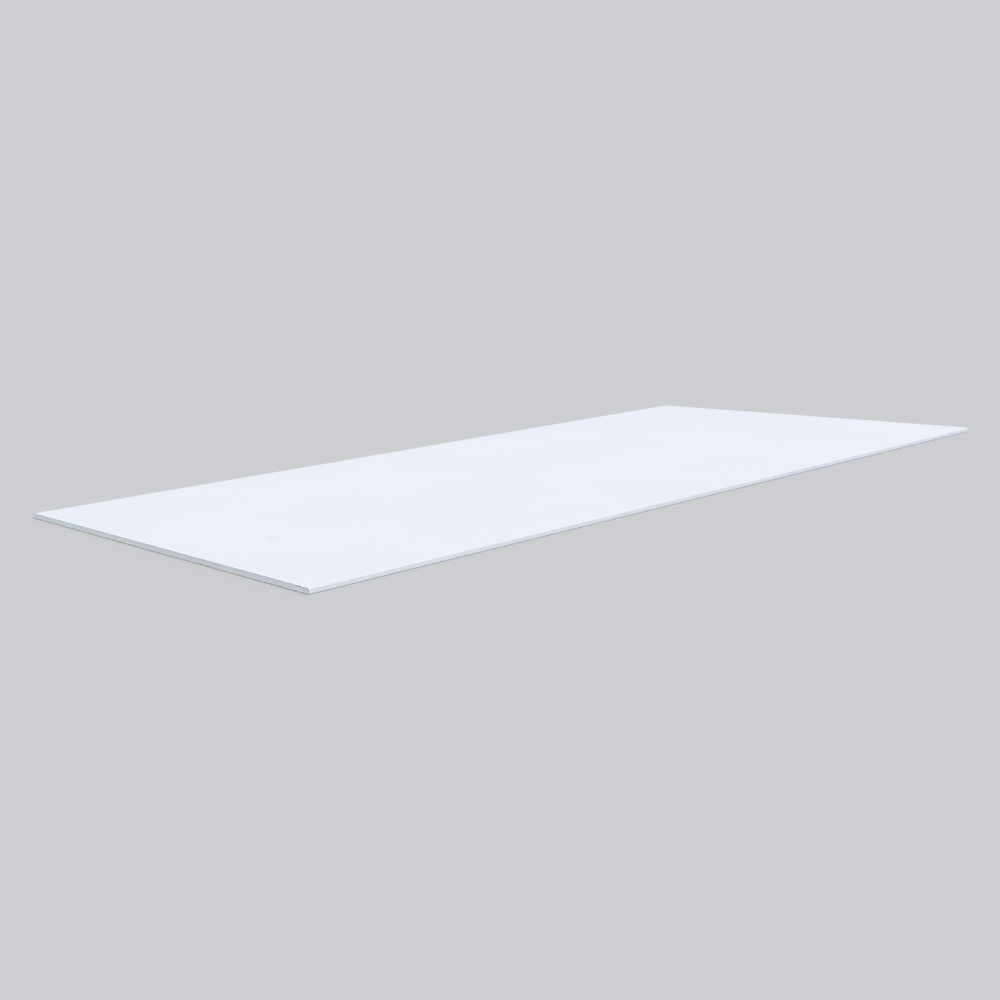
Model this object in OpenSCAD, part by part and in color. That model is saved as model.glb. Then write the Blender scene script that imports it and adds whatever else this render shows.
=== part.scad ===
// Gypsum drywall sheet, full size, lying on its back with its face up.
//
// The sheet is made on a belt: wet gypsum is spread on the face paper, the face
// paper is folded round both long edges and a little way onto the back, and the
// back paper is glued over those flaps. The short ends are sawn, so there the
// core and both papers end flush and bare.
//
// Frame: X runs along the sheet, Y across it, Z up. The origin is at the
// middle of the back, on the plane that the sheet lies on. Millimetres.

/* [Sheet] */
// Length between the two cut ends
sheet_length = 2400; // [1200:100:3600]
// Width between the two papered long edges
sheet_width = 1200; // [400:10:1250]
// Thickness over both papers, away from the long edges
sheet_thickness = 12.5; // [9.5:0.5:25]

/* [Papers] */
// Thickness of the face paper
face_paper_t = 0.4; // [0.3:0.05:0.7]
// Thickness of the back paper
back_paper_t = 0.4; // [0.3:0.05:0.7]
// Width of face paper folded round onto the back, at each long edge
flap_width = 25; // [20:1:60]
// Bare strip of that flap, between the long edge and the back paper
flap_bare = 10; // [3:0.5:18]

/* [Long edges] */
// Width of the shallow taper that leaves room for joint compound
taper_width = 50; // [30:1:80]
// How far the face has dropped where the taper meets the arris
taper_depth = 0.8; // [0.2:0.1:1.6]
// Radius of the arris between face and long edge
face_arris_r = 2.5; // [1.2:0.1:3]
// Radius of the fold between long edge and back
back_arris_r = 1; // [0.8:0.1:1.5]

/* [Hidden] */
$fn = 64;

half_width = sheet_width / 2;

// The flap lies on top of the back paper, so its underside is one paper up.
flap_z = back_paper_t;

// The taper falls from taper_y to the foot of the taper, which is the top of
// the face arris. The arris then turns down into the long edge.
taper_y = half_width - taper_width;
taper_foot_z = sheet_thickness - taper_depth;
face_arris_y = half_width - face_arris_r;
face_arris_z = taper_foot_z - face_arris_r;

// Centre of the fold onto the back
back_arris_y = half_width - back_arris_r;
back_arris_z = flap_z + back_arris_r;

// Inner edge of each flap, and outer edge of the back paper
flap_y = half_width - flap_width;
back_paper_y = half_width - flap_bare;

// Half of the cross-section inside the folded face paper, in Y and Z.
// inset 0 is the paper's outside, and inset face_paper_t is its inside.
module half_section(inset) {
    polygon([
        [0, flap_z + inset],
        [back_arris_y, flap_z + inset],
        [half_width - inset, back_arris_z],
        [half_width - inset, face_arris_z],
        [face_arris_y, taper_foot_z - inset],
        [taper_y, sheet_thickness - inset],
        [0, sheet_thickness - inset]
    ]);
    translate([face_arris_y, face_arris_z]) circle(r = face_arris_r - inset);
    translate([back_arris_y, back_arris_z]) circle(r = back_arris_r - inset);
}

// Both halves, as one outline
module wrapped_section(inset) {
    half_section(inset);
    mirror([1, 0]) half_section(inset);
}

// Gypsum fills the wrap, and between the flaps it reaches down to the back paper.
module core_section() {
    wrapped_section(face_paper_t);
    translate([-flap_y, flap_z])
        square([2 * flap_y, 2 * face_paper_t]);
}

// Runs a Y-Z section from one cut end to the other.
module along_sheet() {
    translate([-sheet_length / 2, 0, 0])
        rotate([90, 0, 90])
            linear_extrude(height = sheet_length)
                children();
}

// Foamed gypsum, sawn square at both ends
module gypsum_core() {
    color("#c9d6d9")
        along_sheet() core_section();
}

// White face paper, round both long edges and onto the back
module face_paper() {
    color("#e9ebf5")
        along_sheet()
            difference() {
                wrapped_section(0);
                core_section();
            }
}

// Brown back paper, glued over the core and the inner part of the flaps
module back_paper() {
    color("#a98c68")
        along_sheet()
            translate([-back_paper_y, 0])
                square([2 * back_paper_y, back_paper_t]);
}

gypsum_core();
face_paper();
back_paper();
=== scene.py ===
# %% [markdown]
# # A sheet of drywall
# Drywall is a sandwich made on one long belt. Wet gypsum full of air is spread on
# a web of white paper, the paper is folded up round both long edges and a little
# way over, and a web of brown paper is laid on top. The sheet travels face down, a
# saw cuts it to length, and it is turned over to lie on its back.
#
# So the finished sheet shows three things. The face and the long edges are smooth
# white paper. The two short ends are sawn, and show the bare gypsum between two
# thin lines of torn paper. The back is rough brown paper, with a narrow white
# strip along each long edge, where the fold of the face paper is left uncovered.
#
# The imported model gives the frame, and everything here is placed from it.

# %% Load the frame
import math
import bpy
import numpy as np
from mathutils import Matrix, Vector


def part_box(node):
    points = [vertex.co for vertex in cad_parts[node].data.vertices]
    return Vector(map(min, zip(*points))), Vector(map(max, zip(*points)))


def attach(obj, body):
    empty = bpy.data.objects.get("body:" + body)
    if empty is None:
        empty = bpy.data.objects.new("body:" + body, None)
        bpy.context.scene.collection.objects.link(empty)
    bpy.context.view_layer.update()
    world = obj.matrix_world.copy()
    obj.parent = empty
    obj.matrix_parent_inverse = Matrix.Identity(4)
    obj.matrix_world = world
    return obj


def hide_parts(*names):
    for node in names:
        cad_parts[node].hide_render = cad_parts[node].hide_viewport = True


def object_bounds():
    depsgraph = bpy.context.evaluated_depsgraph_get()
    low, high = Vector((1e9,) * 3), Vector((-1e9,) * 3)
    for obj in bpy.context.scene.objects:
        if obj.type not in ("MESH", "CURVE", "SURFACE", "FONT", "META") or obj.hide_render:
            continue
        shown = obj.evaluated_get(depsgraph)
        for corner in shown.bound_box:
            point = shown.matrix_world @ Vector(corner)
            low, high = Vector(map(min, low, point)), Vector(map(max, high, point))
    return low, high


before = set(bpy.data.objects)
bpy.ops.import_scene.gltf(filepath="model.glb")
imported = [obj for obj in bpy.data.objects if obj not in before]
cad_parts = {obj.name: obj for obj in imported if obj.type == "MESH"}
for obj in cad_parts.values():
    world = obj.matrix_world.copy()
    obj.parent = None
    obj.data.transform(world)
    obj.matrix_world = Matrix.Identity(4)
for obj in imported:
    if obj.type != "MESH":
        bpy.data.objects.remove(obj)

cad_low, cad_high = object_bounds()
print("packed nodes:", sorted(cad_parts))

# %% [markdown]
# ## Sizes
# Blender works in metres, but paper and bubbles are easier to think of in
# millimetres. Every shape below is worked out in millimetres and turned into metres
# once, when its mesh is made. The overall sizes and the two paper thicknesses are
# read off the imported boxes. The taper, the roundings and the fold have no box of
# their own, so their sizes are repeated here from the construction.

# %% Sizes in millimetres
MM = 0.001

sheet_length, sheet_width, sheet_thickness = (cad_high - cad_low) / MM
end_x = sheet_length / 2
edge_y = sheet_width / 2

face_low, face_high = (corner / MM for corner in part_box("face_paper"))
core_low, core_high = (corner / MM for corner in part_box("gypsum_core"))
back_low, back_high = (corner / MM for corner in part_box("back_paper"))
face_paper_t = face_high.z - core_high.z
back_paper_t = back_high.z - back_low.z
flap_z = face_low.z
back_paper_y = back_high.y

taper_width = 50.0
taper_depth = 0.8
arris_radius = 2.5
fold_radius = 1.0
flap_width = 25.0

taper_y = edge_y - taper_width
taper_foot_z = sheet_thickness - taper_depth
arris_y = edge_y - arris_radius
arris_z = taper_foot_z - arris_radius
fold_y = edge_y - fold_radius
fold_z = flap_z + fold_radius
flap_y = edge_y - flap_width
print(f"sheet {sheet_length:.0f} x {sheet_width:.0f} x {sheet_thickness:.1f} mm,",
      f"papers {face_paper_t:.2f} and {back_paper_t:.2f} mm")

# %% [markdown]
# ## Camera
# A thin sheet seen from above is a blank rectangle, and from the side it is a line.
# The telling view is the one a person has of the top sheet of a stack: the eye is
# off to one side of a corner and only a little above the face, so that the sawn
# end, the long edge and the face all show at once. The camera stands there and
# leans a little, as a hand-held one does. Its lens takes in the whole sheet.

# %% Stand the camera and aim it
stand_point = Vector((-2.528, -2.604, 0.612))
aim_point = Vector((-0.366, -0.212, 0.0))
lean = math.radians(-2.6)

camera_data = bpy.data.cameras.new("camera")
camera_data.sensor_width = 36.0
camera_data.lens = 48.0
camera = bpy.data.objects.new("camera", camera_data)
camera.location = stand_point
camera.rotation_euler = (aim_point - stand_point).to_track_quat("-Z", "Y").to_euler()
camera.rotation_euler.rotate_axis("Z", lean)
bpy.context.scene.collection.objects.link(camera)
bpy.context.scene.camera = camera
down_angle = math.degrees(math.asin((stand_point - aim_point).normalized().z))
print(f"the camera looks down at {down_angle:.1f} degrees")

# %% [markdown]
# ## Colour and nodes
# Colours are written as the sRGB hex values that a paint program shows. Blender's
# shaders want linear light, so one function turns the one into the other. A second
# small function adds any node: plain values are set on its sockets, and an output
# of another node is linked. Patterns are given by their real size in millimetres,
# and Blender's texture nodes want how many of them fit in a metre.

# %% Helpers for colour and nodes
def linear(hex_colour):
    channels = [int(hex_colour[i:i + 2], 16) / 255 for i in (1, 3, 5)]
    curve = [c / 12.92 if c <= 0.04045 else ((c + 0.055) / 1.055) ** 2.4 for c in channels]
    return (*curve, 1.0)


def per_metre(size_mm):
    return 1 / (size_mm * MM)


def add(tree, kind, sockets, **settings):
    node = tree.nodes.new(kind)
    for name, value in settings.items():
        setattr(node, name, value)
    for name, value in sockets.items():
        if isinstance(value, bpy.types.NodeSocket):
            tree.links.new(value, node.inputs[name])
        else:
            node.inputs[name].default_value = value
    return node


def new_material(name):
    material = bpy.data.materials.new(name)
    material.use_nodes = True
    material.node_tree.nodes.clear()
    return material, material.node_tree


print("mid grey in linear light:", round(linear("#808080")[0], 3))
print("scale of a pattern one millimetre across:", round(per_metre(1)))

# %% [markdown]
# Some steps come back in every material. One works out how much of a place lies
# within limits: each limit is a value with the figure where it starts to count and
# the one where it counts in full, and several limits are multiplied. The next lays a
# colour over another by that much. The third pushes the place where a pattern is
# read about with a noise, so that its round shapes come out uneven. The last makes
# the surface, from the finished colour and a pile of reliefs. Each of those is a
# height, a strength and a depth in millimetres.

# %% Steps of a material
# The sockets of a Mix node that is set to colours
FACTOR, COLOUR_A, COLOUR_B, COLOUR_OUT = 0, 6, 7, 2


def within(tree, *limits):
    shares = []
    for value, start, full in limits:
        shares.append(add(tree, "ShaderNodeMapRange",
                          {"Value": value, "From Min": start, "From Max": full},
                          interpolation_type="SMOOTHSTEP").outputs["Result"])
    amount = shares[0]
    for share in shares[1:]:
        amount = add(tree, "ShaderNodeMath", {0: amount, 1: share}, operation="MULTIPLY").outputs[0]
    return amount


def overlay(tree, under, over, *limits):
    mixed = add(tree, "ShaderNodeMix",
                {FACTOR: within(tree, *limits), COLOUR_A: under, COLOUR_B: over}, data_type="RGBA")
    return mixed.outputs[COLOUR_OUT]


def bend(tree, place, wave, amount):
    noise = add(tree, "ShaderNodeTexNoise", {"Vector": place, "Scale": per_metre(wave), "Detail": 2.0})
    shift = add(tree, "ShaderNodeVectorMath",
                {0: noise.outputs["Color"], 1: (amount * MM, amount * MM, amount * MM), 2: place},
                operation="MULTIPLY_ADD")
    return shift.outputs[0]


def rough_surface(tree, colour, reliefs, roughness, shine):
    normal = {}
    for height, strength, depth in reliefs:
        relief = add(tree, "ShaderNodeBump",
                     {"Height": height, "Strength": strength, "Distance": depth * MM, **normal})
        normal = {"Normal": relief.outputs["Normal"]}
    surface = add(tree, "ShaderNodeBsdfPrincipled",
                  {"Base Color": colour, "Roughness": roughness, "Specular IOR Level": shine, **normal})
    add(tree, "ShaderNodeOutputMaterial", {"Surface": surface.outputs[0]})

# %% [markdown]
# ## Floor and light
# A white sheet needs a floor darker than itself, or its edges vanish. This one is
# matt paint in a pale neutral grey. In this light it is lighter than the sawn ends
# and darker than the face and the long edges, so each of them stands out from it.
# It runs so far that it seems never to end.
#
# Two things light it. A pale sky all round stands for the bounce of a white studio,
# and a wide soft lamp stands high on the side of the near long edge. The face gets
# all of both. The near long edge gets half the sky, some light off the floor and
# some of the lamp, which comes to four fifths of that. The sawn ends and the far edge
# get hardly any of the lamp, and come to two thirds. Those steps in tone are all
# that shows how thick the sheet is. The lamp also lays a soft shadow behind it.
#
# The sky itself isn't seen. Rays from the camera meet a backdrop instead, which has
# the floor's own brightness, so that there is no horizon.

# %% Floor, sky and lamp
FLOOR_PAINT = linear("#C8C9CC")
SKY_LIGHT = 0.735
LAMP_LIGHT = 1.185
LAMP_SPREAD = math.radians(40)
toward_lamp = Vector((0.12, -0.6, 1.0)).normalized()

scene = bpy.context.scene
scene.view_settings.view_transform = "Standard"

floor_reach = 60.0
floor_drop = 0.0002        # keeps the floor clear of the sheet's underside
floor_mesh = bpy.data.meshes.new("floor")
floor_mesh.from_pydata([(-floor_reach, -floor_reach, 0), (floor_reach, -floor_reach, 0),
                        (floor_reach, floor_reach, 0), (-floor_reach, floor_reach, 0)],
                       [], [(0, 1, 2, 3)])
floor = bpy.data.objects.new("floor", floor_mesh)
floor.location.z = -floor_drop
scene.collection.objects.link(floor)

floor_material, tree = new_material("matt_floor_paint")
paint = add(tree, "ShaderNodeBsdfDiffuse", {"Color": FLOOR_PAINT})
add(tree, "ShaderNodeOutputMaterial", {"Surface": paint.outputs[0]})
floor_mesh.materials.append(floor_material)

lamp_data = bpy.data.lights.new("soft_lamp", "SUN")
lamp_data.energy = LAMP_LIGHT
lamp_data.angle = LAMP_SPREAD
lamp = bpy.data.objects.new("soft_lamp", lamp_data)
lamp.rotation_euler = toward_lamp.to_track_quat("Z", "Y").to_euler()
scene.collection.objects.link(lamp)

light_on_floor = SKY_LIGHT + LAMP_LIGHT * toward_lamp.z / math.pi
world = bpy.data.worlds.new("studio")
scene.world = world
world.use_nodes = True
tree = world.node_tree
tree.nodes.clear()
sky = add(tree, "ShaderNodeBackground", {"Color": linear("#FFFFFF"), "Strength": SKY_LIGHT})
backdrop = add(tree, "ShaderNodeBackground", {"Color": FLOOR_PAINT, "Strength": light_on_floor})
ray = add(tree, "ShaderNodeLightPath", {})
seen = add(tree, "ShaderNodeMixShader",
           {0: ray.outputs["Is Camera Ray"], 1: sky.outputs[0], 2: backdrop.outputs[0]})
add(tree, "ShaderNodeOutputWorld", {"Surface": seen.outputs[0]})
print(f"light on the floor: {light_on_floor:.2f} of what makes a white card white")

# %% [markdown]
# ## White face paper
# The face is a pressed paper of several plies, its outer ply white and a little
# cool. Paper is matt: light goes in among the fibres and comes out again in all
# directions, so it has high roughness and hardly any shine. Nearly all of what the
# eye gets is one even tone. What keeps it from looking like plastic is small: a fine
# mottle where the fibres have clumped, single fibres, a few grey specks from
# recycled pulp, and here and there a faint dull mark a thumb wide, from handling.
# Along the sawn ends the fluff of the cut is a little whiter, with a painted highlight
# on the lip, and on the long edge by the knocked corner is one smear of gypsum dust.
#
# The fibres are under a millimetre wide and a few millimetres long, and lie mostly
# along the sheet, so their noise is drawn with the length squeezed.

# %% Material: white face paper
FLUFF_AND_HIGHLIGHT_FROM, FLUFF_AND_HIGHLIGHT_FULL = 7.0, 2.0              # distances from the cut where the fluff and the painted highlight start and are full
SMEAR_FROM_END, SMEAR_HEIGHT = 5.0, 7.3
SMEAR_FULL, SMEAR_REACH = 1.4, 2.6             # distances from its middle
SMEAR_FLATTENING = 1.7                         # how much wider than tall it is


def make_face_paper():
    material, tree = new_material("white_multi_ply_paper")
    place = add(tree, "ShaderNodeTexCoord", {}).outputs["Object"]
    along = add(tree, "ShaderNodeMapping", {"Vector": place, "Scale": (0.15, 1, 1)}).outputs[0]
    batch = add(tree, "ShaderNodeTexNoise", {"Vector": place, "Scale": per_metre(420), "Detail": 1.0})
    mottle = add(tree, "ShaderNodeTexNoise",
                 {"Vector": place, "Scale": per_metre(9), "Detail": 4.0, "Roughness": 0.7})
    fibre = add(tree, "ShaderNodeTexNoise",
                {"Vector": along, "Scale": per_metre(0.8), "Detail": 4.0, "Roughness": 0.6})
    speck = add(tree, "ShaderNodeTexVoronoi", {"Vector": place, "Scale": per_metre(16)})
    mark = add(tree, "ShaderNodeTexVoronoi",
               {"Vector": bend(tree, place, 25, 30), "Scale": per_metre(190)})
    mark_size = add(tree, "ShaderNodeSeparateColor", {"Color": mark.outputs["Color"]}).outputs["Red"]

    colour = overlay(tree, linear("#E3E6F0"), linear("#E7EAF3"), (batch.outputs["Fac"], 0.3, 0.7))
    colour = overlay(tree, colour, linear("#E9ECF5"), (mottle.outputs["Fac"], 0.30, 0.70))
    colour = overlay(tree, colour, linear("#D6DAE4"), (fibre.outputs["Fac"], 0.56, 0.85))
    colour = overlay(tree, colour, linear("#D6DAE6"), (mark.outputs["Distance"], 0.10, 0.02),
                     (mark_size, 0.45, 1.0))
    colour = overlay(tree, colour, linear("#AEB4BE"), (speck.outputs["Distance"], 0.040, 0.022))

    # The fluff of the cut, with a painted highlight along the lip
    split = add(tree, "ShaderNodeSeparateXYZ", {"Vector": place})
    from_middle = add(tree, "ShaderNodeMath", {0: split.outputs["X"]}, operation="ABSOLUTE").outputs[0]
    colour = overlay(tree, colour, linear("#F2F4FC"),
                     (from_middle, (end_x - FLUFF_AND_HIGHLIGHT_FROM) * MM, (end_x - FLUFF_AND_HIGHLIGHT_FULL) * MM),
                     (split.outputs["Z"], arris_z * MM, (arris_z + 1.5) * MM))

    # The smear of gypsum dust
    smear = ((SMEAR_FROM_END - end_x) * MM, -edge_y * MM, SMEAR_HEIGHT * SMEAR_FLATTENING * MM)
    flattened = add(tree, "ShaderNodeMapping", {"Vector": bend(tree, place, 1.2, 1.6),
                                                "Scale": (1, 1, SMEAR_FLATTENING)}).outputs[0]
    from_smear = add(tree, "ShaderNodeVectorMath", {0: flattened, 1: smear},
                     operation="DISTANCE").outputs["Value"]
    colour = overlay(tree, colour, linear("#FAFCFF"), (from_smear, SMEAR_REACH * MM, SMEAR_FULL * MM))

    reliefs = [(fibre.outputs["Fac"], 0.35, 0.06), (mottle.outputs["Fac"], 0.5, 0.12)]
    rough_surface(tree, colour, reliefs, roughness=0.82, shine=0.30)
    return material


face_paper = make_face_paper()
print("made", face_paper.name)

# %% [markdown]
# ## Cut edge of the paper
# Only the outer ply is white. Where the saw goes through, the paper shows its inner
# plies, which are grey recycled fibre with patches of tan. That is the fine dark
# line between the face and the gypsum. The same plies show wherever the paper has
# torn, and along the last centimetre at the knocked corner all that shows is tan.

# %% Material: inner plies
TAN_FULL, TAN_REACH = 8.0, 12.0                # distances from the knocked corner


def make_inner_plies():
    material, tree = new_material("grey_inner_plies")
    place = add(tree, "ShaderNodeTexCoord", {}).outputs["Object"]
    patch = add(tree, "ShaderNodeTexNoise", {"Vector": place, "Scale": per_metre(22), "Detail": 2.0})
    fluff = add(tree, "ShaderNodeTexNoise", {"Vector": place, "Scale": per_metre(0.5), "Detail": 3.0})
    corner = (-end_x * MM, -edge_y * MM, sheet_thickness * MM)
    from_corner = add(tree, "ShaderNodeVectorMath", {0: place, 1: corner}, operation="DISTANCE")
    height = add(tree, "ShaderNodeSeparateXYZ", {"Vector": place}).outputs["Z"]
    colour = overlay(tree, linear("#6E767B"), linear("#806C56"), (patch.outputs["Fac"], 0.54, 0.66))
    colour = overlay(tree, colour, linear("#87694A"),
                     (from_corner.outputs["Value"], TAN_REACH * MM, TAN_FULL * MM),
                     (height, (arris_z - 1) * MM, (arris_z + 1) * MM))
    colour = overlay(tree, colour, linear("#B3B6B6"), (fluff.outputs["Fac"], 0.50, 0.75))
    rough_surface(tree, colour, [(fluff.outputs["Fac"], 0.8, 0.15)], roughness=0.95, shine=0.2)
    return material


inner_plies = make_inner_plies()
print("made", inner_plies.name)

# %% [markdown]
# ## Foamed gypsum
# The core is gypsum whipped up with soap foam, then dried in a kiln. Sawn through,
# it is chalky and dead matt, a cool greyish white, with a grain of half a millimetre
# and a few flecks of paper pulp. Its lowest few millimetres, along the foot, are
# painted lighter.
# It is also full of bubbles that the saw has opened, of three sizes: fine ones
# everywhere, some a millimetre across, and now and then a void of three. Each size
# is a flat Voronoi pattern laid over the end, where every cell holds one bubble or
# none. The pattern slides sideways along the sheet, so the two ends differ, and it
# is bent a little, so no bubble is perfectly round. A bubble is dark under its roof
# and lighter on its floor, since the light comes from above. Chips are hollows in
# the mesh, which says how deep each point lies. There the material has no bubbles,
# as a broken wall is all crumbs, and it is painted darker as shade, the more the
# deeper, and also under the lip of the paper.

# %% Bubbles that the saw has opened
def bubble_cells(tree, place, cell_size, radius, share):
    cell = add(tree, "ShaderNodeTexVoronoi", {"Vector": place, "Scale": per_metre(cell_size)},
               voronoi_dimensions="2D")
    dice = add(tree, "ShaderNodeSeparateColor", {"Color": cell.outputs["Color"]}).outputs["Red"]
    widest = radius / cell_size
    rim = add(tree, "ShaderNodeMath", {0: dice, 1: widest / share, 2: widest - widest / share},
              operation="MULTIPLY_ADD").outputs[0]
    inside_rim = add(tree, "ShaderNodeMath", {0: rim, 1: cell.outputs["Distance"]},
                     operation="SUBTRACT").outputs[0]
    off_centre = add(tree, "ShaderNodeVectorMath", {0: place, 1: cell.outputs["Position"]},
                     operation="SUBTRACT").outputs[0]
    rise = add(tree, "ShaderNodeSeparateXYZ", {"Vector": off_centre}).outputs["Y"]
    return inside_rim, rise


# Cell size, largest radius, share of the cells with a bubble, and wave and amount of the bending
BUBBLES = ((1.5, 0.30, 0.6, 0.8, 0.25),
           (6.0, 0.70, 0.4, 1.4, 0.6),
           (19.0, 1.60, 0.4, 2.5, 1.2))
print(len(BUBBLES), "sizes of bubble, up to", 2 * max(radius for _, radius, *_ in BUBBLES), "mm across")

# %% Material: foamed gypsum
FOOT_FROM, FOOT_FULL = 4.2, 2.4                # heights where the brighter foot starts and is full
SLIDE = 0.4                                    # how far the bubbles slide sideways for each mm along


def make_gypsum():
    material, tree = new_material("foamed_gypsum")
    place = add(tree, "ShaderNodeTexCoord", {}).outputs["Object"]
    batch = add(tree, "ShaderNodeTexNoise", {"Vector": place, "Scale": per_metre(230), "Detail": 1.0})
    blotch = add(tree, "ShaderNodeTexNoise", {"Vector": place, "Scale": per_metre(30), "Detail": 3.0})
    grain = add(tree, "ShaderNodeTexNoise",
                {"Vector": place, "Scale": per_metre(0.5), "Detail": 5.0, "Roughness": 0.7})
    pulp = add(tree, "ShaderNodeTexVoronoi", {"Vector": place, "Scale": per_metre(9)})
    hollow_and_shade = add(tree, "ShaderNodeAttribute", {}, attribute_name="hollow_and_shade").outputs["Fac"]
    split = add(tree, "ShaderNodeSeparateXYZ", {"Vector": place})
    height = split.outputs["Z"]
    sideways = add(tree, "ShaderNodeMath", {0: split.outputs["X"], 1: SLIDE, 2: split.outputs["Y"]},
                   operation="MULTIPLY_ADD").outputs[0]
    on_end = add(tree, "ShaderNodeCombineXYZ", {"X": sideways, "Y": height}).outputs[0]

    colour = overlay(tree, linear("#E3E9F3"), linear("#E5F5FA"), (batch.outputs["Fac"], 0.35, 0.65))
    colour = overlay(tree, colour, linear("#D9E2EC"), (blotch.outputs["Fac"], 0.45, 0.75))
    # The foot is painted lighter
    colour = overlay(tree, colour, linear("#F9FEFF"), (height, FOOT_FROM * MM, FOOT_FULL * MM))
    colour = overlay(tree, colour, linear("#F0F5FB"), (grain.outputs["Fac"], 0.45, 0.80))
    colour = overlay(tree, colour, linear("#8F7F6B"), (pulp.outputs["Distance"], 0.06, 0.03))
    reliefs = [(grain.outputs["Fac"], 0.7, 0.20)]
    for cell_size, radius, share, wave, amount in BUBBLES:
        bent = bend(tree, on_end, wave, amount)
        inside_rim, rise = bubble_cells(tree, bent, cell_size, radius, share)
        opened = within(tree, (inside_rim, 0, 0.25 * radius / cell_size), (hollow_and_shade, 0.35, 0.1))
        inside = overlay(tree, linear("#C3CDD6"), linear("#87929A"),
                         (rise, -0.5 * radius * MM, 0.6 * radius * MM))
        colour = add(tree, "ShaderNodeMix", {FACTOR: opened, COLOUR_A: colour, COLOUR_B: inside},
                     data_type="RGBA").outputs[COLOUR_OUT]
        level = add(tree, "ShaderNodeMath", {0: 1.0, 1: opened}, operation="SUBTRACT")
        reliefs.append((level.outputs[0], 0.4, 0.5 * radius))

    # Painted shade: darker the deeper a chip or hole goes, and darker under the lip of the paper
    colour = overlay(tree, colour, linear("#6C7278"), (hollow_and_shade, 0.1, 1.0))
    rough_surface(tree, colour, reliefs, roughness=0.96, shine=0.2)
    return material


gypsum = make_gypsum()
print("made", gypsum.name)

# %% [markdown]
# ## Brown back paper
# The back is cheap recycled paper, the colour of a cardboard box. It is rougher and
# more uneven than the face: pale and dark fibres lie all ways, with flecks of old
# print and of white sheets in the pulp, and cloudy patches a hand wide.

# %% Material: brown back paper
def make_back_paper():
    material, tree = new_material("brown_recycled_paper")
    place = add(tree, "ShaderNodeTexCoord", {}).outputs["Object"]
    along = add(tree, "ShaderNodeMapping", {"Vector": place, "Scale": (0.2, 1, 1)}).outputs[0]
    across = add(tree, "ShaderNodeMapping",
                 {"Vector": place, "Rotation": (0, 0, 0.9), "Scale": (0.25, 1, 1)}).outputs[0]
    cloud = add(tree, "ShaderNodeTexNoise", {"Vector": place, "Scale": per_metre(60), "Detail": 4.0})
    fibre = add(tree, "ShaderNodeTexNoise",
                {"Vector": along, "Scale": per_metre(1.2), "Detail": 5.0, "Roughness": 0.65})
    straw = add(tree, "ShaderNodeTexNoise", {"Vector": across, "Scale": per_metre(1.6), "Detail": 4.0})
    fleck = add(tree, "ShaderNodeTexVoronoi", {"Vector": place, "Scale": per_metre(7)})
    which = add(tree, "ShaderNodeSeparateColor", {"Color": fleck.outputs["Color"]})

    colour = overlay(tree, linear("#A28A6B"), linear("#A99172"), (cloud.outputs["Fac"], 0.25, 0.75))
    colour = overlay(tree, colour, linear("#BFA98A"), (fibre.outputs["Fac"], 0.52, 0.75))
    colour = overlay(tree, colour, linear("#7D6749"), (straw.outputs["Fac"], 0.55, 0.78))
    fleck_colour = overlay(tree, linear("#564A3A"), linear("#DCD5C6"), (which.outputs["Red"], 0.48, 0.52))
    colour = overlay(tree, colour, fleck_colour, (fleck.outputs["Distance"], 0.09, 0.05))
    reliefs = [(fibre.outputs["Fac"], 0.7, 0.12), (straw.outputs["Fac"], 0.6, 0.12)]
    rough_surface(tree, colour, reliefs, roughness=0.92, shine=0.25)
    return material


back_paper = make_back_paper()
print("made", back_paper.name)

# %% [markdown]
# ## Uneven lines
# A sawn or torn line is never straight, and it is uneven at several sizes at once: a
# slow wander, small teeth, and here and there a bite. So smooth random heights are
# drawn a given distance apart along a line, and lumps of a given size over an area.
# Teeth are the sum of a few such wanders, each with its own depth and spacing, and a
# bite is half an ellipse. All of them draw from a generator with a fixed seed, so
# the sheet comes out the same each time.

# %% Helpers for uneven lines
def smooth(t):
    return t * t * (3 - 2 * t)


def wander(along, wavelength, dice):
    start = along.min() - wavelength
    t = (along - start) / wavelength
    cell = np.floor(t).astype(int)
    heights = dice.uniform(-1, 1, cell.max() + 2)
    blend = smooth(t - cell)
    return heights[cell] * (1 - blend) + heights[cell + 1] * blend


def uneven(along, waves, dice):
    return sum(depth * (1 + wander(along, spacing, dice)) for depth, spacing in waves)


def lumps(across, up, size, dice):
    s, t = (across - across.min()) / size, (up - up.min()) / size
    i, j = np.floor(s).astype(int), np.floor(t).astype(int)
    heights = dice.uniform(-1, 1, (i.max() + 2, j.max() + 2))
    a, b = smooth(s - i), smooth(t - j)
    low = heights[i, j] * (1 - a) + heights[i + 1, j] * a
    high = heights[i, j + 1] * (1 - a) + heights[i + 1, j + 1] * a
    return low * (1 - b) + high * b


def bowl(off_centre, deepest):
    return deepest * np.sqrt(np.clip(1 - off_centre, 0, 1))


def bites(along, places):
    depth = np.zeros_like(along)
    for centre, width, deepest in places:
        depth = np.maximum(depth, bowl((2 * (along - centre) / width) ** 2, deepest))
    return depth


example = bites(np.array([0.0, 0.5, 1.0]), [(0, 2, 1)])
print("a bite 2 mm wide and 1 mm deep, from its middle out:", example.round(2))

# %% [markdown]
# The near corner of this sheet has been knocked. Between 26 and 44 mm from it the
# gypsum has crumbled away under the lip of the paper and left a dark slot. From 22
# to 10 mm the paper itself is torn into teeth. Nearer the corner the tears are
# shallow and show the tan ply, and down the upright edge the gypsum has come away
# from the paper. The other three corners have lighter damage. The tears are cut into
# the paper and the gypsum alike, and the holes into the gypsum alone.

# %% Damage along the sawn ends
# Distance from the near long edge, width and depth of each tear
TORN_TEETH = ((20.5, 4.4, 1.3), (17.0, 2.8, 2.3), (14.4, 2.4, 1.1), (11.7, 2.8, 1.9))
TAN_TEARS = ((8.0, 2.6, 0.8), (5.2, 2.4, 1.0), (2.2, 2.8, 0.7))

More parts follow.
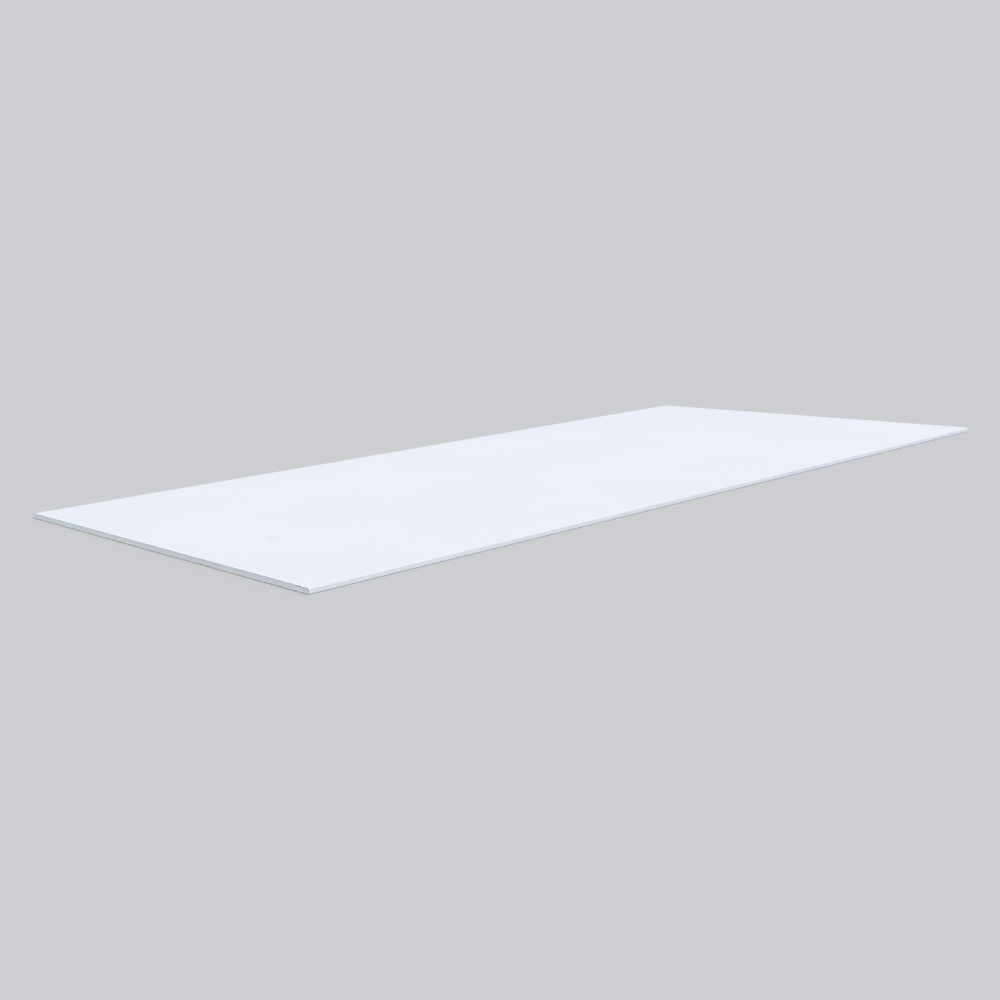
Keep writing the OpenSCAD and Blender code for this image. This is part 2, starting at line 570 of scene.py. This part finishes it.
# Distance from the near long edge, height, half width, half height and depth of each hole
SLOT_Z = sheet_thickness - 0.8
HOLES = ((31.0, SLOT_Z, 4.8, 1.8, 5.0), (38.5, SLOT_Z, 6.0, 1.3, 3.5), (0.4, 5.6, 1.8, 3.8, 3.0))


def from_near_edge(places):
    return [(place - edge_y, *rest) for place, *rest in places]


def draw_bites(dice, first, last, count, widths, depths):
    step = (last - first) / count
    centres = first + step * (np.arange(count) + dice.uniform(0.2, 0.8, count))
    return list(zip(centres, dice.uniform(*widths, count), dice.uniform(*depths, count)))


near_dice, far_dice = np.random.default_rng(11), np.random.default_rng(12)
deep_bites = from_near_edge(TORN_TEETH)
shallow_bites = from_near_edge(TAN_TEARS)
upright_bites = draw_bites(near_dice, -edge_y - 10, -edge_y + 1,
                           count=5, widths=(1.2, 2.4), depths=(0.4, 0.9))
stray_bites = draw_bites(near_dice, -edge_y + 60, edge_y,
                         count=25, widths=(1.5, 5), depths=(0.3, 0.9))
far_bites = draw_bites(far_dice, -edge_y, edge_y - 40,
                       count=24, widths=(1.5, 5), depths=(0.3, 1.0))
far_bites += draw_bites(far_dice, edge_y - 40, edge_y - 3,
                        count=4, widths=(3, 6), depths=(0.8, 1.5))
end_bites = {-1: deep_bites + shallow_bites + upright_bites + stray_bites, 1: far_bites}
end_holes = {-1: from_near_edge(HOLES), 1: []}
print(len(end_bites[-1]), "bites at the near end and", len(end_bites[1]), "at the far one")

# %% [markdown]
# ## Turning lists into a piece
# Every mesh below is made of rows of points, joined row to row. A row is a
# dictionary from a column number to a point. Where a fine row meets a coarse one,
# which lacks most of the columns, each face takes in all the fine points along its
# side, so there is no crack and no stray edge. A sheet of paper is a shell: two
# surfaces of such rows, joined all round by a rim.
#
# Some faces of a piece can have its second material. Those, and any others that are
# named, are shaded flat. The rest are shaded smooth.

# %% Helpers for meshes
def join_rows(faces, row_a, row_b):
    shared = sorted(row_a.keys() & row_b.keys())
    for left, right in zip(shared, shared[1:]):
        run_a = [row_a[c] for c in range(left, right + 1) if c in row_a]
        run_b = [row_b[c] for c in range(left, right + 1) if c in row_b]
        faces.append(run_a + run_b[::-1])


def join_shell(faces, outer, inner, last_column):
    for row, next_row in zip(outer, outer[1:]):
        join_rows(faces, next_row, row)
    for row, next_row in zip(inner, inner[1:]):
        join_rows(faces, row, next_row)
    first_rim = len(faces)
    join_rows(faces, outer[0], inner[0])
    join_rows(faces, inner[-1], outer[-1])
    for i in range(len(outer) - 1):
        faces.append([inner[i][0], inner[i + 1][0], outer[i + 1][0], outer[i][0]])
        faces.append([outer[i][last_column], outer[i + 1][last_column],
                      inner[i + 1][last_column], inner[i][last_column]])
    return range(first_rim, len(faces))


def make_piece(name, points, faces, materials, second=(), flat=()):
    mesh = bpy.data.meshes.new(name)
    mesh.from_pydata((np.asarray(points) * MM).tolist(), [], faces)
    for material in materials:
        mesh.materials.append(material)
    shade_smooth = np.ones(len(faces), bool)
    shade_smooth[list(flat)] = False
    shade_smooth[list(second)] = False
    mesh.polygons.foreach_set("use_smooth", shade_smooth)
    material_index = np.zeros(len(faces), np.int32)
    material_index[list(second)] = 1
    mesh.polygons.foreach_set("material_index", material_index)
    mesh.validate()
    mesh.update()
    piece = bpy.data.objects.new(name, mesh)
    scene.collection.objects.link(piece)
    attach(piece, "root")
    triangles = sum(len(face) - 2 for face in faces)
    print(f"{name}: {len(points)} points, {triangles} triangles")
    return piece

# %% [markdown]
# ## Section of the wrap
# The face paper is one line in cross-section: over the face, down the shallow
# taper, round the arris, down the long edge, round the fold and in along the back.
# Both its outside and its inside follow that line, the inside by its thickness in.
# The arcs are true arcs, and the columns are close enough for a torn edge to show.

# %% Outline of the wrapped section
def straight(start, end, count):
    t = np.linspace(0, 1, count, endpoint=False)[:, None]
    return np.array(start) * (1 - t) + np.array(end) * t


def arc(centre, radius, from_deg, to_deg, count):
    turn = np.radians(np.linspace(from_deg, to_deg, count, endpoint=False))
    return np.array(centre) + radius * np.stack([np.cos(turn), np.sin(turn)], 1)


FACE_COLUMNS, TAPER_COLUMNS, ARRIS_COLUMNS = 600, 100, 10
EDGE_COLUMNS, FOLD_COLUMNS, FLAP_COLUMNS = 8, 4, 25


def half_wrap(inset):
    return np.concatenate([
        straight((0, sheet_thickness - inset), (taper_y, sheet_thickness - inset), FACE_COLUMNS),
        straight((taper_y, sheet_thickness - inset), (arris_y, taper_foot_z - inset), TAPER_COLUMNS),
        arc((arris_y, arris_z), arris_radius - inset, 90, 0, ARRIS_COLUMNS),
        straight((edge_y - inset, arris_z), (edge_y - inset, fold_z), EDGE_COLUMNS),
        arc((fold_y, fold_z), fold_radius - inset, 0, -90, FOLD_COLUMNS),
        straight((fold_y, flap_z + inset), (flap_y, flap_z + inset), FLAP_COLUMNS),
        [(flap_y, flap_z + inset)],
    ])


def whole_wrap(inset):
    right = half_wrap(inset)
    left = right[:0:-1] * (-1, 1)
    return np.concatenate([left, right])


outside = whole_wrap(0)
inside = whole_wrap(face_paper_t)
wrap_columns = len(outside)
middle_column = wrap_columns // 2
steps = np.hypot(*np.diff(outside, axis=0).T)
along_wrap = np.concatenate([[0], np.cumsum(steps)])
along_wrap -= along_wrap[middle_column]

# Away from the ends only some columns are kept: few on the flat, all on the arcs
gap_of_stretch = [(FACE_COLUMNS, 60), (TAPER_COLUMNS, 20), (ARRIS_COLUMNS, 1),
                  (EDGE_COLUMNS, 2), (FOLD_COLUMNS, 1), (FLAP_COLUMNS + 1, 25)]
kept = []
first = 0
for stretch, gap in gap_of_stretch:
    kept += range(first, first + stretch, gap)
    first += stretch
kept_columns = sorted({middle_column + k for k in kept} | {middle_column - k for k in kept})
print(wrap_columns, "columns round the wrap,", len(kept_columns), "kept between the ends")

# %% [markdown]
# ## The face paper
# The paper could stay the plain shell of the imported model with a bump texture, but
# two of its shapes are real. Its ends are frayed, and hang a little over the sawn
# gypsum as a burr. And the arris, pressed against the belt's edge guides while the
# gypsum was wet, swells and thins along the sheet, which shows as a soft uneven
# highlight. So the paper is built anew as a closed shell with those in it.

# %% Rows along the sheet
# Distance from the cut of each row with all its columns, and how far that row sags
FRAYED_ROWS = ((0.0, 0.14), (0.35, 0.05), (0.9, 0.0), (2.2, 0.0), (5.0, 0.0), (10.0, 0.0))
CLEAR = 20.0                  # distance from the cut of the first row with only the kept columns
PLAIN_STEP = 12.0

plain_x = np.linspace(CLEAR - end_x, end_x - CLEAR, int((sheet_length - 2 * CLEAR) // PLAIN_STEP))
all_columns = np.arange(wrap_columns)
kept_columns = np.array(kept_columns)


def lay_row(points, columns, x, section):
    first = len(points)
    points.extend(np.column_stack([np.broadcast_to(x, len(columns)), section]))
    return {int(column): first + i for i, column in enumerate(columns)}


def lay_surface(points, columns, kept, end_rows, torn, end_section, plain_section):
    laid = {-1: [], 1: []}
    last_clear = end_rows[-1][0]
    for end in (-1, 1):
        for clear, amount in end_rows:
            back = clear + torn[end] * (1 - clear / last_clear)
            laid[end].append(lay_row(points, columns, end * (end_x - back), end_section(end, amount)))
    plain = [lay_row(points, kept, x, plain_section(x)) for x in plain_x]
    return laid[-1] + plain + laid[1][::-1]


print(len(plain_x), "rows between the frayed ends")

# %% The arris swells and thins along the sheet
SWELLS = ((0.24, 90), (0.16, 33))     # height and spacing
CREST_REACH = 3.2                     # how far round the arris the swelling reaches
FOLD_FADE, END_FADE = 4.0, 40.0       # it fades out this near the fold and the cut ends

paper_dice = np.random.default_rng(21)
station = np.linspace(-end_x, end_x, 1200)
swell = {side: sum(height * wander(station, spacing, paper_dice) for height, spacing in SWELLS)
         for side in (-1, 1)}
for side in (-1, 1):
    dents = draw_bites(paper_dice, -end_x + END_FADE, end_x - END_FADE,
                       count=26, widths=(9, 30), depths=(0.15, 0.55))
    swell[side] -= bites(station, dents)
arris_crest = arris_radius * (1 - math.sqrt(0.5))


def press_arris(x, section, inset):
    y, z = section.T
    past_crest = ((np.abs(y) - edge_y + arris_crest) - (z - taper_foot_z + arris_crest)) / math.sqrt(2)
    round_arris = np.exp(-(past_crest / CREST_REACH) ** 2)
    above_fold = smooth(np.clip((z - fold_z) / FOLD_FADE, 0, 1))
    side_swell = np.where(y < 0, np.interp(x, station, swell[-1]), np.interp(x, station, swell[1]))
    off_end = min(1.0, (end_x - abs(x)) / END_FADE)
    move = side_swell * (round_arris * above_fold) * off_end / math.sqrt(2)
    reach = np.minimum(np.abs(y) + move, edge_y - inset)
    return np.column_stack([np.sign(y) * reach, z + move])


print("the arris moves by up to", round(max(np.abs(swell[1]).max(), np.abs(swell[-1]).max()), 2), "mm")

# %% [markdown]
# The shell has an outer and an inner surface, each made of rows from one cut end to
# the other. Torn paper doesn't stop at a square edge. Its white ply tears a little
# further back than the grey plies under it, which then show as a fine bevel, and so
# each surface has a torn line of its own. The outermost row also hangs down a
# little, because the gypsum under it has crumbled back.

# %% The torn line of the face paper
FACE_TEETH = ((0.10, 1.3), (0.10, 8.0))        # depth and spacing
LEAST_TEAR = 0.02
GREY_TEETH, GREY_TEAR = 0.8, 0.78              # how far the grey plies tear, against the white one


def fray(along, dice, places):
    teeth = uneven(along, FACE_TEETH, dice)
    torn = bites(along, places)
    white_ply = LEAST_TEAR + teeth + torn
    grey_plies = LEAST_TEAR + GREY_TEETH * teeth + GREY_TEAR * torn
    return white_ply, grey_plies


def inward_normals(section):
    along = np.gradient(section, axis=0)
    inward = np.column_stack([along[:, 1], -along[:, 0]])
    return inward / np.linalg.norm(inward, axis=1)[:, None]


print("the deepest tear in the paper is", max(depth for _, _, depth in end_bites[-1]), "mm")

# %% Make the face paper
def paper_surface(points, section, inset, torn, sag_share):
    inward = inward_normals(section)

    def sagged(end, sag):
        return section + inward * (sag * sag_share[end])[:, None]

    def pressed(x):
        return press_arris(x, section[kept_columns], inset)

    return lay_surface(points, all_columns, kept_columns, FRAYED_ROWS, torn, sagged, pressed)


def make_wrapped_face_paper():
    points, faces = [], []
    white, grey, sag_share = {}, {}, {}
    for end, seed in ((-1, 31), (1, 32)):
        dice = np.random.default_rng(seed)
        white[end], grey[end] = fray(along_wrap, dice, end_bites[end])
        sag_share[end] = 0.6 + 0.4 * wander(along_wrap, 5, dice)
    outer = paper_surface(points, outside, 0, white, sag_share)
    inner = paper_surface(points, inside, face_paper_t, grey, sag_share)
    rim = join_shell(faces, outer, inner, wrap_columns - 1)
    return make_piece("wrapped_face_paper", points, faces,
                      [face_paper, inner_plies], second=rim)


wrapped_face_paper = make_wrapped_face_paper()
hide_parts("face_paper")

# %% [markdown]
# ## The gypsum core
# Only the two sawn ends of the core are seen. Each is a fine grid, whose rows lie
# closer together under the face, where the damage is. The saw leaves the brittle
# gypsum a little behind the paper, crumbled and grainy, and under each bite in the
# paper a chip has broken out of its upper edge. The sides lie hidden against the
# paper and only follow its swelling.
#
# How deep each point lies in a chip or hole is kept on the mesh for the material,
# together with a painted shade under the lip of the paper.

# %% Grid over a sawn end
GRAIN_STEP = 0.66
GRID_ROWS = 18
ROW_CROWDING = 1.3            # at 1 the rows would be even
HALF_STEP = 0.05              # the core steps up over the flap between two columns, one this far each side


def core_columns():
    flat = np.arange(0, flap_y - 0.3, GRAIN_STEP)
    over_flap = np.arange(flap_y + HALF_STEP, arris_y, GRAIN_STEP)
    turn = np.radians(np.linspace(90, 0, 10))
    round_arris = arris_y + (arris_radius - face_paper_t) * np.cos(turn)
    half = np.concatenate([flat, [flap_y - HALF_STEP], over_flap, round_arris])
    return np.concatenate([-half[:0:-1], half])


def core_top(y):
    reach = np.abs(y)
    top = np.interp(reach, [taper_y, arris_y], [sheet_thickness, taper_foot_z]) - face_paper_t
    radius = arris_radius - face_paper_t
    past = np.clip(reach - arris_y, 0, radius)
    return np.where(reach > arris_y, arris_z + np.sqrt(radius ** 2 - past ** 2), top)


def core_bottom(y):
    reach = np.abs(y)
    bottom = np.where(reach < flap_y, core_low.z, flap_z + face_paper_t)
    radius = fold_radius - face_paper_t
    past = np.clip(reach - fold_y, 0, radius)
    return np.where(reach > fold_y, fold_z - np.sqrt(radius ** 2 - past ** 2), bottom)


column_y = core_columns()
row_share = 1 - np.linspace(1, 0, GRID_ROWS + 1) ** ROW_CROWDING
grid_y = np.repeat(column_y[:, None], GRID_ROWS + 1, axis=1)
grid_z = core_bottom(grid_y) + (core_top(grid_y) - core_bottom(grid_y)) * row_share
print("grid over a sawn end:", grid_y.shape[0], "by", grid_y.shape[1])

# %% Chips, holes and grain
CHIP_WIDER, CHIP_DEEPER = 1.5, 0.5            # a chip against the tear in the paper over it
CHIP_HEIGHT, HEIGHT_SHARE = 0.7, 0.2          # its height has a share of the tear's width on top
SET_BACK, LEAST_BACK = 0.45, 0.12             # how far behind the cut the gypsum lies
SAW_DRIFT, DRIFT_SPACING = 0.07, 60
GRAIN = ((0.10, 0.9), (0.10, 3.5))            # depth and size
CRUMBLE, CRUMBLE_REACH = 0.35, 0.6            # beside the paper
SHADE, SHADE_REACH = 0.8, 0.7                 # painted shade beside the paper, and how far it reaches
HOLLOW_AND_SHADE_PER_MM = 0.45
CHIP_ROUGHNESS, CHIP_LUMP = 0.25, 1.2


def chip_depths(places):
    below_top = core_top(grid_y) - grid_z
    depth = np.zeros_like(grid_y)
    for centre, width, deepest in places:
        tall = HEIGHT_SHARE * width + CHIP_HEIGHT
        off = (2 * (grid_y - centre) / (width + CHIP_WIDER)) ** 2 + (below_top / tall) ** 2
        depth = np.maximum(depth, bowl(off, deepest + CHIP_DEEPER))
    return depth


def hole_depths(holes):
    depth = np.zeros_like(grid_y)
    for middle_y, middle_z, half_width, half_height, deepest in holes:
        off = ((grid_y - middle_y) / half_width) ** 2 + ((grid_z - middle_z) / half_height) ** 2
        depth = np.maximum(depth, bowl(off, deepest))
    return depth


def sawn_end(end, seed):
    dice = np.random.default_rng(seed)
    chips = np.maximum(chip_depths(end_bites[end]), hole_depths(end_holes[end]))
    chips = chips * (1 + CHIP_ROUGHNESS * lumps(grid_y, grid_z, CHIP_LUMP, dice))
    grain = sum(depth * lumps(grid_y, grid_z, size, dice) for depth, size in GRAIN)
    from_paper = np.minimum(core_top(grid_y) - grid_z, edge_y - face_paper_t - np.abs(grid_y))
    crumbled = CRUMBLE * np.exp(-from_paper / CRUMBLE_REACH)
    drift = SAW_DRIFT * wander(column_y, DRIFT_SPACING, dice)[:, None]
    back = SET_BACK + drift + grain + crumbled + chips
    # A painted shadow under the lip of the paper, added to the depth of the chips
    painted_shade_under_paper = SHADE * np.exp(-from_paper / SHADE_REACH)
    hollow_and_shade = np.clip(HOLLOW_AND_SHADE_PER_MM * chips + painted_shade_under_paper, 0, 1)
    return end * (end_x - np.clip(back, LEAST_BACK, None)), hollow_and_shade


print("the deepest hole in the gypsum is", max(depth for *_, depth in end_holes[-1]), "mm")

# %% The ring of points round a sawn end
def core_ring():
    last_column, last_row = len(column_y) - 1, GRID_ROWS
    across = range(last_column)
    ring = [(j, last_row) for j in across]
    ring += [(last_column, k) for k in range(last_row, 0, -1)]
    ring += [(j, 0) for j in range(last_column, 0, -1)]
    ring += [(0, k) for k in range(last_row)]
    return ring + ring[:1]


def is_kept(j, k):
    # Few points are kept round the sides: near the arris, at the step, and some between
    reach = abs(column_y[j])
    at_corner = reach > arris_y - 1 or abs(reach - flap_y) < 2 * HALF_STEP
    return (at_corner and (k % 3 == 0)) or (j % 100 == 0)


print(len(core_ring()) - 1, "points round a sawn end")

# %% Make the gypsum core
def add_sawn_end(points, faces, end, seed):
    grid_x, hollow_and_shade = sawn_end(end, seed)
    grid = len(points) + np.arange(grid_y.size).reshape(grid_y.shape)
    points.extend(np.column_stack([grid_x.ravel(), grid_y.ravel(), grid_z.ravel()]))
    for j in range(len(column_y) - 1):
        for k in range(GRID_ROWS):
            face = [grid[j, k], grid[j, k + 1], grid[j + 1, k + 1], grid[j + 1, k]]
            faces.append(face if end < 0 else face[::-1])
    return grid, hollow_and_shade.ravel()


def make_sawn_core():
    points, faces, hollow_and_shade, rims = [], [], [], {}
    ring = core_ring()
    for end, seed in ((-1, 41), (1, 42)):
        grid, end_hollow_and_shade = add_sawn_end(points, faces, end, seed)
        rims[end] = {i: grid[spot] for i, spot in enumerate(ring)}
        hollow_and_shade.extend(end_hollow_and_shade)
    first_side = len(faces)
    kept_spots = [i for i, spot in enumerate(ring[:-1]) if is_kept(*spot)]
    section = np.array([(grid_y[ring[i]], grid_z[ring[i]]) for i in kept_spots])
    sides = []
    for x in plain_x:
        row = lay_row(points, kept_spots, x, press_arris(x, section, face_paper_t))
        row[len(ring) - 1] = row[0]
        sides.append(row)
    rows = [rims[-1]] + sides + [rims[1]]
    for row, next_row in zip(rows, rows[1:]):
        join_rows(faces, next_row, row)
    piece = make_piece("sawn_gypsum_core", points, faces, [gypsum],
                       flat=range(first_side, len(faces)))
    hollow_and_shade += [0.0] * (len(points) - len(hollow_and_shade))
    attribute = piece.data.attributes.new("hollow_and_shade", "FLOAT", "POINT")
    attribute.data.foreach_set("value", np.array(hollow_and_shade, np.float32))
    return piece


sawn_gypsum_core = make_sawn_core()
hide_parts("gypsum_core")

# %% [markdown]
# ## The back paper
# The brown web is glued on over the folded flaps and stops 10 mm short of each long
# edge. Its long edges are slit and wander a little. Its ends are sawn with the rest
# of the sheet, and since the saw comes out through this side, they are the more
# ragged, with a burr turned up against the gypsum.

# %% The torn and slit edges of the back paper
BACK_STEP = 0.9
BACK_ROWS = ((0.0, 1.0), (0.3, 0.25), (0.9, 0.0), (3.0, 0.0))   # distance from the cut, share of the burr
BACK_TEETH = ((0.10, 1.2), (0.10, 6.0))                         # depth and spacing
SLIT_WAVES = ((0.25, 60), (0.12, 9))
BURR_HEIGHT = 0.7

back_dice = np.random.default_rng(51)
across_back = np.linspace(-back_paper_y, back_paper_y, int(2 * back_paper_y / BACK_STEP) + 1)
back_columns = np.arange(len(across_back))
kept_back_columns = np.unique(np.append(back_columns[::60], back_columns[-1]))
slit = {side: uneven(station, SLIT_WAVES, back_dice) for side in (-1, 1)}
back_torn, burr = {}, {}
for end in (-1, 1):
    teeth = uneven(across_back, BACK_TEETH, back_dice)
    stray = draw_bites(back_dice, -back_paper_y, back_paper_y,
                       count=30, widths=(1, 4), depths=(0.3, 0.9))
    back_torn[end] = LEAST_TEAR + teeth + bites(across_back, stray)
    share = np.clip(wander(across_back, 5, back_dice) + 0.5 * wander(across_back, 17, back_dice), 0, 1)
    burr[end] = BURR_HEIGHT * share * np.clip((0.5 - back_torn[end]) / 0.2, 0, 1)
print("the burr rises up to", round(max(burr[-1].max(), burr[1].max()), 2), "mm")

# %% Make the back paper
def back_section(x, columns, height):
    y = across_back[columns].copy()
    y[0] += np.interp(x, station, slit[-1])
    y[-1] -= np.interp(x, station, slit[1])
    return np.column_stack([y, np.broadcast_to(height, len(columns))])


def back_surface(points, height):
    def lifted(end, lift):
        return back_section(end * end_x, back_columns, height + burr[end] * lift)

    def level(x):
        return back_section(x, kept_back_columns, height)

    return lay_surface(points, back_columns, kept_back_columns, BACK_ROWS, back_torn, lifted, level)


def make_brown_back_paper():
    points, faces = [], []
    upper = back_surface(points, back_paper_t)
    under = back_surface(points, 0.0)
    rim = join_shell(faces, upper, under, back_columns[-1])
    return make_piece("brown_back_paper", points, faces, [back_paper], flat=rim)


brown_back_paper = make_brown_back_paper()
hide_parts("back_paper")

# %% [markdown]
# ## Fibres along the cuts
# A saw doesn't cut every fibre of a paper. Some are pulled out and lie along the
# edge, bent over the gypsum. Each is a thin tube with three sides, which is enough
# for something a tenth of a millimetre thick, and all the fibres of one paper are
# one mesh. They keep to the narrow ledge that the crumbled gypsum leaves.

# %% One fibre
def add_tube(points, faces, path, radius):
    along = np.gradient(path, axis=0)
    along /= np.linalg.norm(along, axis=1)[:, None]
    side = np.cross(along, (1.0, 0.0, 0.3))
    side /= np.linalg.norm(side, axis=1)[:, None]
    up = np.cross(side, along)
    first = len(points)
    for spot, a, b in zip(path, side, up):
        for turn in (0, 2 * math.pi / 3, 4 * math.pi / 3):
            points.append(spot + radius * (a * math.cos(turn) + b * math.sin(turn)))
    for i in range(len(path) - 1):
        for k in range(3):
            low, high = first + 3 * i, first + 3 * i + 3
            faces.append([low + k, high + k, high + (k + 1) % 3, low + (k + 1) % 3])
    last = first + 3 * (len(path) - 1)
    faces.append([first, first + 1, first + 2])
    faces.append([last + 2, last + 1, last])


example = []
add_tube(example, [], np.linspace((0, 0, 0), (1, 0, 0), 6), 0.05)
print("a fibre has", len(example), "points")

# %% Draw the fibres
FIBRES_PER_END = 260
FIBRE_POINTS = 6
FIBRE_LENGTHS, FIBRE_RADII = (0.8, 3.2), (0.035, 0.07)
FIBRE_BOWS = (-0.12, 0.12)
ROOT_BACK, TIP_FORWARD = 0.32, 0.12           # the root's distance behind the cut, the tip's less
FACE_ROOT, BACK_ROOT = 0.12, 0.10             # how deep in its paper the root is


def draw_fibres(name, material, root_z, fall, reach, seed):
    points, faces = [], []
    dice = np.random.default_rng(seed)
    for end in (-1, 1):
        for y in dice.uniform(-reach, reach, FIBRES_PER_END):
            length, drop = dice.uniform(*FIBRE_LENGTHS), dice.uniform(*fall)
            radius = dice.uniform(*FIBRE_RADII)
            t = np.linspace(0, 1, FIBRE_POINTS)
            bow = dice.uniform(*FIBRE_BOWS) * np.sin(math.pi * t)
            back = ROOT_BACK - TIP_FORWARD * t + bow
            path = np.column_stack([end * (end_x - back),
                                    y + length * (t - 0.5) * dice.choice((-1, 1)),
                                    root_z(y) + drop * t ** 1.6])
            add_tube(points, faces, path, radius)
    return make_piece(name, points, faces, [material])


def gypsum_top(y):
    return float(core_top(np.array(y)))


def inside_face_paper(y):
    return gypsum_top(y) + FACE_ROOT


def inside_back_paper(y):
    return back_paper_t - BACK_ROOT


face_paper_fibres = draw_fibres("face_paper_fibres", face_paper,
                                inside_face_paper, fall=(-0.9, -0.1), reach=taper_y, seed=61)
back_paper_fibres = draw_fibres("back_paper_fibres", back_paper,
                                inside_back_paper, fall=(0.1, 1.1), reach=back_paper_y - 10, seed=62)

# %% [markdown]
# ## Torn flakes
# Where the corner was knocked, the paper did not come away clean. At two of the
# tears a scrap of it still hangs over the sawn end, white outside and dark inside. A
# scrap is a small grid that bends over an arc and then hangs straight, with a ragged
# rim, and a second layer under it makes it a closed piece of paper.

# %% Shape of a flake
FLAKES = ((20.5, 4.6, 1.2, 1.7), (14.4, 2.6, 1.0, 0.9))    # place, width, radius of the bend, hang
FLAKE_ACROSS, FLAKE_ALONG = 11, 9
FLAKE_THICKNESS = 0.16
FLAKE_CLEARANCE, FLAKE_SUNK = 0.15, 0.05                   # from the cut, and below the face
TIP_ROUNDING, NARROWING = 0.45, 0.35


def face_height(y):
    return float(np.interp(abs(y), [taper_y, arris_y], [sheet_thickness, taper_foot_z]))


def lay_flake_side(points, flake, tip, ragged, skew, inset):
    place, width, radius, hang = flake
    middle = place - edge_y
    quarter = 0.5 * math.pi * radius
    top = face_height(middle) - FLAKE_SUNK - inset
    spots = np.zeros((FLAKE_ACROSS, FLAKE_ALONG), int)
    for i, s in enumerate(np.linspace(-1, 1, FLAKE_ACROSS)):
        for k, v in enumerate(np.linspace(0, 1, FLAKE_ALONG)):
            run = v * tip[i] * (quarter + hang)
            turn = min(run, quarter) / radius
            sideways = s * (1 - NARROWING * v) + skew * v + ragged[i, k]
            spots[i, k] = len(points)
            points.append((-end_x + radius + FLAKE_CLEARANCE - (radius - inset) * math.sin(turn),
                           middle + 0.5 * width * sideways,
                           top - (radius - inset) * (1 - math.cos(turn)) - max(0.0, run - quarter)))
    return spots


def rim_loop():
    last_i, last_k = FLAKE_ACROSS - 1, FLAKE_ALONG - 1
    loop = [(i, 0) for i in range(last_i)]
    loop += [(last_i, k) for k in range(last_k)]
    loop += [(i, last_k) for i in range(last_i, 0, -1)]
    loop += [(0, k) for k in range(last_k, 0, -1)]
    return list(zip(loop, loop[1:] + loop[:1]))


print("a flake has", len(rim_loop()), "points round its rim")

# %% Make the flakes
def make_torn_flakes():
    points, white_faces, dark_faces = [], [], []
    dice = np.random.default_rng(71)
    for flake in FLAKES:
        across = np.linspace(-1, 1, FLAKE_ACROSS)
        tip = 1 - TIP_ROUNDING * across ** 2 + dice.uniform(-0.2, 0.2, FLAKE_ACROSS)
        ragged = dice.uniform(-0.07, 0.07, (FLAKE_ACROSS, FLAKE_ALONG))
        skew = dice.uniform(-0.2, 0.2)
        white = lay_flake_side(points, flake, tip, ragged, skew, 0.0)
        dark = lay_flake_side(points, flake, tip, ragged, skew, FLAKE_THICKNESS)
        for i in range(FLAKE_ACROSS - 1):
            for k in range(FLAKE_ALONG - 1):
                white_faces.append([white[i, k], white[i + 1, k], white[i + 1, k + 1], white[i, k + 1]])
                dark_faces.append([dark[i, k + 1], dark[i + 1, k + 1], dark[i + 1, k], dark[i, k]])
        dark_faces += [[dark[a], dark[b], white[b], white[a]] for a, b in rim_loop()]
    faces = white_faces + dark_faces
    return make_piece("torn_face_flakes", points, faces,
                      [face_paper, inner_plies], second=range(len(white_faces), len(faces)))


torn_face_flakes = make_torn_flakes()

# %% [markdown]
# ## Crumbs
# Gypsum breaks into crumbs like stale cake. A few are caught in the tears at the
# knocked corner, and one is stuck to the arris beside it. A crumb starts as a ball
# of rings, and each of its points is pushed in or out at random.

# %% Make the crumbs
CRUMB_RINGS, CRUMB_SIDES = 4, 6
CRUMBS_IN_A_TEAR = 2
CRUMB_SIZES = (0.15, 0.36)
STUCK_FROM_END, STUCK_LEAN, STUCK_SIZE = 5, math.radians(35), 0.44


def add_crumb(points, faces, centre, size, dice):
    first = len(points)
    centre = np.array(centre)
    points.append(centre + (0, 0, size * dice.uniform(0.7, 1)))
    for ring in range(1, CRUMB_RINGS):
        tilt = math.pi * ring / CRUMB_RINGS
        for k in range(CRUMB_SIDES):
            turn = 2 * math.pi * k / CRUMB_SIDES
            out = size * dice.uniform(0.5, 1.0)
            points.append(centre + out * np.array([math.sin(tilt) * math.cos(turn),
                                                   math.sin(tilt) * math.sin(turn), math.cos(tilt)]))
    points.append(centre - (0, 0, size * dice.uniform(0.7, 1)))
    last = len(points) - 1
    for k in range(CRUMB_SIDES):
        nxt = (k + 1) % CRUMB_SIDES
        faces.append([first, first + 1 + k, first + 1 + nxt])
        for ring in range(CRUMB_RINGS - 2):
            upper, lower = first + 1 + ring * CRUMB_SIDES, first + 1 + (ring + 1) * CRUMB_SIDES
            faces.append([upper + k, lower + k, lower + nxt, upper + nxt])
        faces.append([last, last - CRUMB_SIDES + nxt, last - CRUMB_SIDES + k])


def make_crumbs(torn_places):
    points, faces = [], []
    dice = np.random.default_rng(81)
    for centre, width, depth in torn_places:
        for _ in range(CRUMBS_IN_A_TEAR):
            y = centre + dice.uniform(-0.4, 0.4) * width
            size = dice.uniform(*CRUMB_SIZES)
            x = -end_x + size + dice.uniform(0.5, max(0.6, depth - 0.2))
            z = gypsum_top(y) - dice.uniform(0.5, 0.9)
            add_crumb(points, faces, (x, y, z), size, dice)
    stuck = (STUCK_FROM_END - end_x,
             -arris_y - arris_radius * math.cos(STUCK_LEAN),
             arris_z + arris_radius * math.sin(STUCK_LEAN))
    add_crumb(points, faces, stuck, STUCK_SIZE, dice)
    return make_piece("gypsum_crumbs", points, faces, [gypsum], flat=range(len(faces)))


gypsum_crumbs = make_crumbs(deep_bites)
